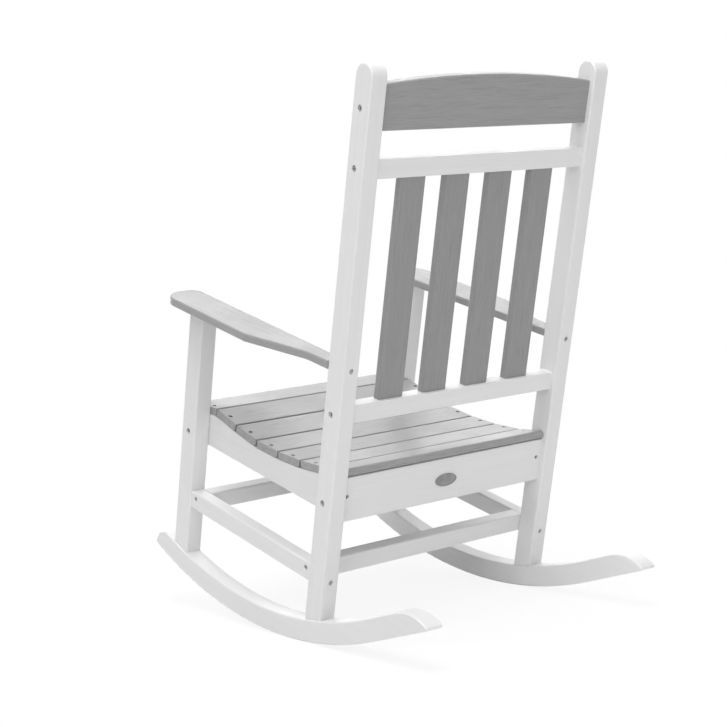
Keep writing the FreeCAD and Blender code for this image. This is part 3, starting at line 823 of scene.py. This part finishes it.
@dataclass
class Hardware:
    """Square-drive screws, hidden studs and the blank oval plate.

    Attributes:
        head_height: Height of a screw's head.
        head_bevel: Bevel of its rim.
        shank: Diameter over the thread.
        root: Diameter between the turns of the thread.
        thread_pitch: Rise of one turn.
        point: Length of the tapered end.
        tip: Diameter at its very end.
        socket: Width of the square drive.
        socket_depth: Depth of the square drive.
        neck_step: Rise over which the head narrows to the shank.
        sides: Sides of the turned body.
        coil_steps: Steps in a turn of the thread.
    """

    head_height: float = 0.0022
    head_bevel: float = 0.0003
    shank: float = 0.0048
    root: float = 0.0038
    thread_pitch: float = 0.0034
    point: float = 0.005
    tip: float = 0.001
    socket: float = 0.0034
    socket_depth: float = 0.0016
    neck_step: float = 0.0001
    sides: int = 20
    coil_steps: int = 10

    def dress(self, shop: Workshop) -> None:
        """Dresses the hidden studs and pins and the plate.

        Args:
            shop: The workshop.
        """
        for node in ("arm_studs", "plate_pins"):
            shop.dress(node, shop.steel)
        shop.dress("oval_plate", shop.plate)

    def screw_tree(self) -> Tree:
        """Tree that turns one screw and sets a copy at every point.

        Returns:
            The Geometry Nodes tree.
        """
        wiring, sizes = new_group("GeometryNodeTree", "screw_set",
                                  ("Geometry", "Length", "Head", "Head Height", "Head Bevel", "Shank", "Root",
                                   "Thread Pitch", "Point", "Tip", "Socket", "Socket Depth", "Finish"),
                                  ("Geometry",))
        head, root, tip = (wiring.times(sizes[name], 0.5) for name in ("Head", "Root", "Tip"))
        rim = wiring.math("SUBTRACT", head, sizes["Head Bevel"])
        neck = wiring.math("ADD", sizes["Head Height"], self.neck_step)
        taper = wiring.math("SUBTRACT", sizes["Length"], sizes["Point"])
        body = turned_stem(wiring, ((0.0, rim), (sizes["Head Bevel"], head), (sizes["Head Height"], head),
                                    (neck, root), (taper, root), (sizes["Length"], tip)), self.sides)
        across = wiring.xyz(X=sizes["Socket"], Y=sizes["Socket"], Z=wiring.times(sizes["Socket Depth"], 2.0))
        drive = wiring.shape("MeshCube", {"Size": across})
        cut = wiring.shape("MeshBoolean", {"Mesh 1": body, "Mesh 2": drive},
                           operation="DIFFERENCE", solver="EXACT")
        thread = self.thread(wiring, sizes, neck, taper)
        whole = wiring.add("GeometryNodeJoinGeometry")
        for part in (thread, cut):
            wiring.feed(whole.inputs[0], part)
        inward = wiring.shape("InputNamedAttribute", {"Name": INWARD}, data_type="FLOAT_VECTOR")
        aligned = wiring.out("FunctionNodeAlignRotationToVector", {"Vector": inward}, axis="Z")
        spin = wiring.add("FunctionNodeRandomValue", {2: 0.0, 3: math.tau, "Seed": SPIN_SEED},
                          data_type="FLOAT").outputs[1]
        both = wiring.out("FunctionNodeRotateRotation", {0: aligned, 1: wiring.xyz(Z=spin)},
                          rotation_space="LOCAL")
        placed = wiring.shape("InstanceOnPoints", {"Points": sizes["Geometry"], "Rotation": both,
                                                   "Instance": whole.outputs[0]})
        finish_tree(wiring, placed, sizes["Finish"])
        return wiring.tree

    def thread(self, wiring: Wiring, sizes: Sockets, start: Socket, end: Socket) -> Socket:
        """Three-sided ridge that winds round the shank.

        Args:
            wiring: Wiring of the tree.
            sizes: The tree's inputs.
            start: Depth at which the thread starts.
            end: Depth at which it ends.

        Returns:
            The ridge's geometry.
        """
        ridge = wiring.times(wiring.math("SUBTRACT", sizes["Shank"], sizes["Root"]), 0.5)
        radius = wiring.math("SUBTRACT", wiring.times(sizes["Shank"], 0.5), ridge)
        height = wiring.math("SUBTRACT", wiring.math("SUBTRACT", end, start), wiring.times(ridge, 2.0))
        turns = wiring.math("DIVIDE", height, sizes["Thread Pitch"])
        coil = wiring.shape("CurveSpiral", {"Resolution": self.coil_steps, "Rotations": turns,
                                            "Start Radius": radius, "End Radius": radius, "Height": height})
        lifted = wiring.xyz(Z=wiring.math("ADD", start, ridge))
        coil = wiring.shape("Transform", {"Geometry": coil, "Translation": lifted})
        section = wiring.shape("CurvePrimitiveCircle", {"Resolution": 3, "Radius": ridge})
        return wiring.shape("CurveToMesh", {"Curve": coil, "Profile Curve": section, "Fill Caps": True})

    def drive(self, shop: Workshop, sets: Sequence[ScrewSet]) -> None:
        """Sets every screw, one piece for each kind.

        Args:
            shop: The workshop.
            sets: The kinds.
        """
        tree = self.screw_tree()
        for screws in sets:
            sizes = {**sizes_of(self), "Length": screws.length, "Head": screws.head, "Finish": shop.steel}
            piece = grow(screws.node + "_set", tree, sizes, screws.points(shop.stance))
            settle(piece, [screws.node])


def turned_stem(wiring: Wiring, levels: Sequence[tuple[object, object]], sides: int) -> Socket:
    """Solid of revolution along Z.

    Args:
        wiring: Wiring of the tree.
        levels: Height and radius of each ring, from the bottom up.
        sides: Sides of a ring.

    Returns:
        The solid's geometry.
    """
    line = wiring.shape("CurvePrimitiveLine")
    path = wiring.shape("ResampleCurve", {"Curve": line, "Count": len(levels)})
    index = wiring.shape("InputIndex")
    height, radius = (chosen(wiring, index, [level[part] for level in levels]) for part in (0, 1))
    path = wiring.shape("SetPosition", {"Geometry": path, "Position": wiring.xyz(Z=height)})
    ring = wiring.shape("CurvePrimitiveCircle", {"Resolution": sides, "Radius": 1.0})
    return wiring.shape("CurveToMesh", {"Curve": path, "Profile Curve": ring, "Scale": radius,
                                        "Fill Caps": True})


def chosen(wiring: Wiring, index: Socket, values: Sequence[object]) -> Socket:
    """Value that an index picks from a list.

    Args:
        wiring: Wiring of the tree.
        index: Place in the list.
        values: The list, of numbers or sockets.

    Returns:
        The value.
    """
    node = wiring.add("GeometryNodeIndexSwitch", data_type="FLOAT")
    while len(node.index_switch_items) < len(values):
        node.index_switch_items.new()
    for socket, value in zip(node.inputs, (index, *values)):
        wiring.feed(socket, value)
    return node.outputs[0]


@dataclass(frozen=True)
class DrillPlan:
    """Where the screws go on the level chair.

    Attributes:
        outer_face: Outsides of the uprights.
        upright_middle: Middle of an upright across the chair.
        rail_middle: Middle of a seat rail across the chair.
        stretcher_face: Outside of a side stretcher.
        post_back: Back of the rear posts.
        leg_front: Front of the front legs.
        leg_middle: Middle of a front leg, front to back.
        post_row: Line of the screws on the side of a rear post.
        post_heights: Heights of those screws.
        leg_height: Height of the screw in the side of a front leg.
        end_height: Height of the screws into a side stretcher's ends.
        cross_height: Height of the screws into the cross stretchers' ends.
        cross_row: Places of those along the chair.
        arm_height: Height of the screw into the rear end of an arm.
        rail_ends: Place along the chair and height of the screws into a seat rail, rear end first.
        foot_spread: Distance of the two screws under a foot from its middle.
        foot_sink: Depth of their heads below the tread.
        side_length: Length of the screws across the chair.
        end_length: Length of the screws into the side stretchers and the arms.
        rail_length: Length of the screws into the seat rails.
        foot_length: Length of the screws under the feet.
        slat_length: Length of the screws through the slats.
        post_head: Head diameter of the screws through the sides of posts and legs.
        frame_head: Head diameter in the stretchers, the arms and the rockers.
        seat_head: Head diameter in the slats and the seat rails.
    """

    outer_face: float = 0.285
    upright_middle: float = 0.2675
    rail_middle: float = 0.239
    stretcher_face: float = 0.28175
    post_back: float = 0.0445
    leg_front: float = -0.436
    leg_middle: float = -0.41375
    post_row: float = 0.020
    post_heights: tuple[float, ...] = (1.029, 0.9265, 0.4845, 0.316)
    leg_height: float = 0.309
    end_height: float = 0.1665
    cross_height: float = 0.1765
    cross_row: tuple[float, ...] = (-0.01425, -0.37725)
    arm_height: float = 0.5705
    rail_ends: tuple[tuple[float, float], ...] = ((0.03325, 0.326), (-0.42475, 0.292))
    foot_spread: float = 0.011
    foot_sink: float = 0.015
    side_length: float = 0.075
    end_length: float = 0.1
    rail_length: float = 0.055
    foot_length: float = 0.088
    slat_length: float = 0.038
    post_head: float = 0.0114
    frame_head: float = 0.0088
    seat_head: float = 0.0072

    def foot(self, y: float, stance: Stance) -> tuple[Triple, Triple]:
        """Drive up through the tread at a place along the chair."""
        tread = stance.radius - math.sqrt(stance.radius ** 2 - (y - stance.arc_y) ** 2)
        return (self.upright_middle, y, tread), (0.0, 0.0, 1.0)

    def sets(self, seat: Seat, stance: Stance) -> list[ScrewSet]:
        """Every set of screws.

        Args:
            seat: The seat, which knows where its slats lie.
            stance: How the chair stands.

        Returns:
            The sets.
        """
        inward, ahead, back = (-1.0, 0.0, 0.0), (0.0, -1.0, 0.0), (0.0, 1.0, 0.0)
        outer, middle, rail = self.outer_face, self.upright_middle, self.rail_middle
        posts = tuple(((outer, self.post_row, z), inward) for z in self.post_heights)
        leg = ((outer, self.leg_middle, self.leg_height), inward)
        ends = (((middle, self.post_back, self.end_height), ahead),
                ((middle, self.leg_front, self.end_height), back))
        crosses = tuple(((self.stretcher_face, y, self.cross_height), inward) for y in self.cross_row)
        arm = ((middle, self.post_back, self.arm_height), ahead)
        rails = tuple(((rail, y, z), way) for (y, z), way in zip(self.rail_ends, (ahead, back)))
        feet = tuple(self.foot(y + shift, stance) for y in (self.post_back / 2, self.leg_middle)
                     for shift in (-self.foot_spread, self.foot_spread))
        return [
            ScrewSet("post_screws", self.side_length, self.post_head, posts),
            ScrewSet("leg_screws", self.side_length, self.post_head, (leg,)),
            ScrewSet("stretcher_end_screws", self.end_length, self.frame_head, ends),
            ScrewSet("cross_stretcher_screws", self.side_length, self.frame_head, crosses),
            ScrewSet("arm_screws", self.end_length, self.frame_head, (arm,)),
            ScrewSet("seat_rail_screws", self.rail_length, self.seat_head, rails),
            ScrewSet("rocker_screws", self.foot_length, self.frame_head, feet, self.foot_sink),
            ScrewSet("seat_slat_screws", self.slat_length, self.seat_head, tuple(seat.drives(rail))),
        ]


# ---- studio ----
@dataclass(frozen=True)
class Lamp:
    """Square soft lamp that looks at the middle of the chair.

    Attributes:
        name: Name of the lamp.
        place: Its place.
        size: Its side.
        power: Its power, in watts.
        mirrored: Whether glossy surfaces mirror it.
    """

    name: str
    place: Triple
    size: float
    power: float
    mirrored: bool = True

    def build(self, aim: Vector) -> None:
        """Makes the lamp.

        Args:
            aim: Place that it looks at.
        """
        data = bpy.data.lights.new(self.name, "AREA")
        data.shape, data.size, data.energy = "SQUARE", self.size, self.power
        lamp = bpy.data.objects.new(self.name, data)
        lamp.location = self.place
        lamp.visible_glossy = self.mirrored
        lamp.rotation_euler = (aim - Vector(self.place)).to_track_quat("-Z", "Y").to_euler()
        bpy.context.scene.collection.objects.link(lamp)


@dataclass(frozen=True)
class Studio:
    """Pale floor, soft light and the camera.

    Attributes:
        ambient: Strength of the world's light on the object.
        floor_size: Side of the floor.
        floor_colour: Colour of the floor.
        floor_own_light: Share of the floor that shows as plain white to the camera under the chair.
        floor_fade: Distances from the chair between which that share grows to the whole.
        lamps: The soft lamps.
        eye: Place of the camera, beside the level chair.
        gaze: Azimuth, elevation and roll of the camera, in degrees.
        lens: Focal length in millimetres.
        sensor: Width of the sensor in millimetres.
        aim: Place that the lamps look at.
    """

    ambient: float = 0.17
    floor_size: float = 60.0
    floor_colour: Colour = (0.95, 0.95, 0.95)
    floor_own_light: float = 0.86
    floor_fade: tuple[float, float] = (0.9, 2.6)
    lamps: tuple[Lamp, ...] = (
        Lamp("left_key", (3.6, -3.0, 4.7), 0.9, 32.0),
        Lamp("rear_left", (3.8, 3.8, 3.5), 3.0, 85.0),
        Lamp("rear_fill", (0.6, 5.2, 3.0), 3.0, 29.0),
        Lamp("overhead", (1.2, 0.9, 5.2), 3.0, 183.0),
        Lamp("high_wall", (-3.0, -1.8, 4.2), 3.0, 28.0),
        Lamp("bright_wall", (-2.7, -2.7, 2.2), 3.6, 34.0),
        Lamp("low_wall", (-5.0, -2.0, 1.2), 3.0, 120.0, mirrored=False),
        Lamp("low_front", (-1.5, -5.0, 1.2), 3.0, 53.0),
    )
    eye: Triple = (2.123, 2.2353, 1.4726)
    gaze: Triple = (139.3455, 17.1335, 5.689)
    lens: float = 85.33
    sensor: float = 36.0
    aim: Triple = (0.0, 0.0, 0.5)

    def seen_directly(self, wiring: Wiring) -> Socket:
        """Finds where the camera, a reflection or a refraction sees the surface.

        Args:
            wiring: Wiring of the surface's material.

        Returns:
            1 there and 0 elsewhere.
        """
        path = wiring.add("ShaderNodeLightPath").outputs
        seen = wiring.math("MAXIMUM", path["Is Camera Ray"], path["Is Glossy Ray"])
        return wiring.math("MAXIMUM", seen, path["Is Transmission Ray"])

    def build_world(self) -> None:
        """Even white surroundings, dimmer as light than as a backdrop."""
        world = bpy.data.worlds.new("white_room")
        world.use_nodes = True
        bpy.context.scene.world = world
        wiring = Wiring(world.node_tree)
        light, backdrop = (wiring.out("ShaderNodeBackground", {"Color": WHITE, "Strength": strength})
                           for strength in (self.ambient, 1.0))
        mixed = wiring.out("ShaderNodeMixShader", {0: self.seen_directly(wiring), 1: light, 2: backdrop})
        wiring.add("ShaderNodeOutputWorld", {"Surface": mixed})

    def build_floor(self) -> None:
        """Plain pale floor that keeps the chair's shadow."""
        half = self.floor_size / 2
        mesh = bpy.data.meshes.new("floor")
        corners = [(-half, -half, 0), (half, -half, 0), (half, half, 0), (-half, half, 0)]
        mesh.from_pydata(corners, [], [(0, 1, 2, 3)])
        floor = bpy.data.objects.new("floor", mesh)
        bpy.context.scene.collection.objects.link(floor)
        material, wiring = new_material("pale_floor")
        matt = wiring.out("ShaderNodeBsdfDiffuse", {"Color": (*self.floor_colour, 1.0)})
        white = wiring.out("ShaderNodeEmission", {"Color": WHITE, "Strength": 1.0})
        own = wiring.add("ShaderNodeTexCoord").outputs["Object"]
        away = wiring.add("ShaderNodeVectorMath", {0: own}, operation="LENGTH").outputs["Value"]
        plain = wiring.ramp(away, self.floor_fade, (self.floor_own_light, 1.0))
        share = wiring.times(self.seen_directly(wiring), plain)
        wiring.surface(wiring.out("ShaderNodeMixShader", {0: share, 1: matt, 2: white}))
        mesh.materials.append(material)

    def build_camera(self, stance: Stance) -> None:
        """Makes the camera, behind the chair on its left, which leans with the chair.

        Args:
            stance: How the chair stands.
        """
        data = bpy.data.cameras.new("camera")
        data.lens, data.sensor_width = self.lens, self.sensor
        camera = bpy.data.objects.new("camera", data)
        azimuth, elevation, roll = map(math.radians, self.gaze)
        turn = (Matrix.Rotation(azimuth, 4, "Z") @ Matrix.Rotation(math.pi / 2 - elevation, 4, "X")
                @ Matrix.Rotation(roll, 4, "Z"))
        camera.matrix_world = stance.matrix() @ Matrix.Translation(self.eye) @ turn
        bpy.context.scene.collection.objects.link(camera)
        bpy.context.scene.camera = camera

    def build(self, stance: Stance) -> None:
        """Builds the studio.

        Args:
            stance: How the chair stands.
        """
        self.build_world()
        self.build_floor()
        for lamp in self.lamps:
            lamp.build(Vector(self.aim))
        self.build_camera(stance)
        bpy.context.scene.view_settings.view_transform = "Standard"


def main() -> None:
    """Dresses the chair and lights it."""
    logging.basicConfig(level=logging.INFO, format="%(name)s: %(message)s")
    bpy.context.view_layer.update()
    effects = Effects()
    shop = Workshop(measured_stance(), effects, STEEL.material(effects), PLATE.material(effects))
    Studio().build(shop.stance)
    back, seat, hardware = Back(), Seat(), Hardware()
    for assembly in (Rockers(), Uprights(), back, seat, Arms(), hardware):
        assembly.dress(shop)
    back.build_slats(shop)
    hardware.drive(shop, DrillPlan().sets(seat, shop.stance))


if __name__ == "__main__":
    main()
